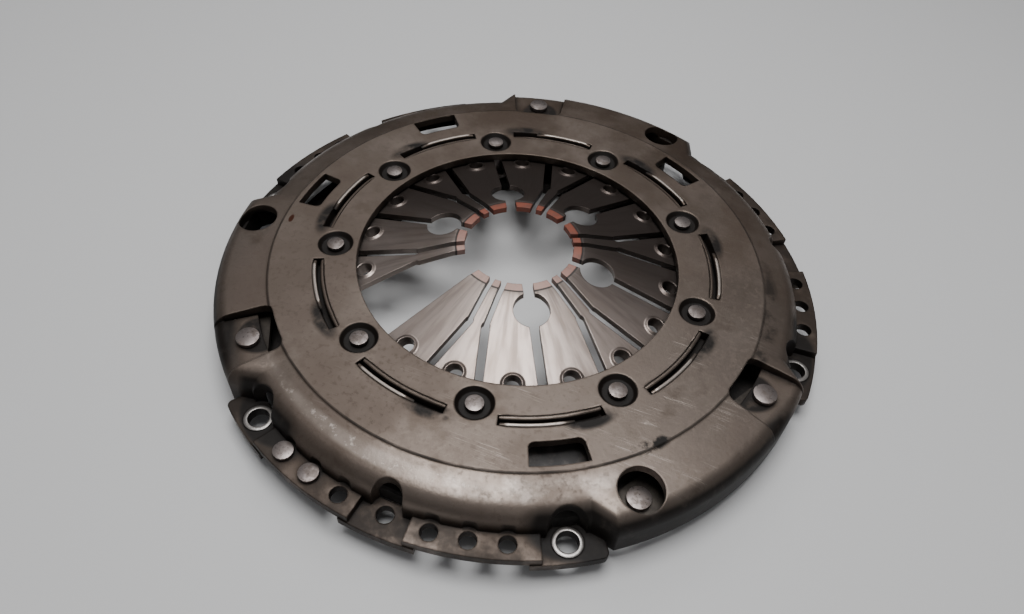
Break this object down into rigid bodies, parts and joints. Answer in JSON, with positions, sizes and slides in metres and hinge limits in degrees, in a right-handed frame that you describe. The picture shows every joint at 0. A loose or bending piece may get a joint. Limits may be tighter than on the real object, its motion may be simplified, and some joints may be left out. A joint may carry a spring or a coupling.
{
  "type": "clutch pressure plate",
  "caption": "Round clutch cover with a diaphragm spring, a cast pressure plate on leaf straps, and a bolting flange for a flywheel.",
  "frame": {"origin": "centre of the bolt circle, on the face of the flange that bolts to the flywheel", "axes": "+Z along the shaft axis away from the flywheel, towards the release bearing; +X through one bolt hole and one fulcrum rivet"},
  "size_m": [0.28, 0.2764, 0.0356],
  "materials": {
    "cover_steel": "worn satin with oily grime",
    "spring_steel": "satin",
    "wire_steel": "satin",
    "rivet_steel": "satin",
    "strap_steel": "dull",
    "plate_iron": "matt casting"
  },
  "bodies": {
    "cover": {"cover": "cover_steel", "diaphragm_spring": "spring_steel", "pivot_ring": "wire_steel", "fulcrum_rivets": "rivet_steel", "cover_strap_rivets": "rivet_steel", "balance_rivets": "rivet_steel", "strap_a_leaf_1": "strap_steel", "strap_a_leaf_2": "strap_steel", "strap_a_leaf_3": "strap_steel", "strap_a_leaf_4": "strap_steel", "strap_b_leaf_1": "strap_steel", "strap_b_leaf_2": "strap_steel", "strap_b_leaf_3": "strap_steel", "strap_b_leaf_4": "strap_steel", "strap_c_leaf_1": "strap_steel", "strap_c_leaf_2": "strap_steel", "strap_c_leaf_3": "strap_steel", "strap_c_leaf_4": "strap_steel"},
    "pressure_plate": {"pressure_plate": "plate_iron", "plate_strap_rivets": "rivet_steel"}
  },
  "joints": [
    {"name": "pressure_plate_lift", "type": "slide", "parent": "cover", "child": "pressure_plate", "axis": [0, 0, 1], "range_m": [0, 0.0035], "stiffness_N_per_m": 100000, "springref_m": -0.001, "deforming": ["diaphragm_spring", "strap_a_leaf_1", "strap_a_leaf_2", "strap_a_leaf_3", "strap_a_leaf_4", "strap_b_leaf_1", "strap_b_leaf_2", "strap_b_leaf_3", "strap_b_leaf_4", "strap_c_leaf_1", "strap_c_leaf_2", "strap_c_leaf_3", "strap_c_leaf_4"]}
  ]
}
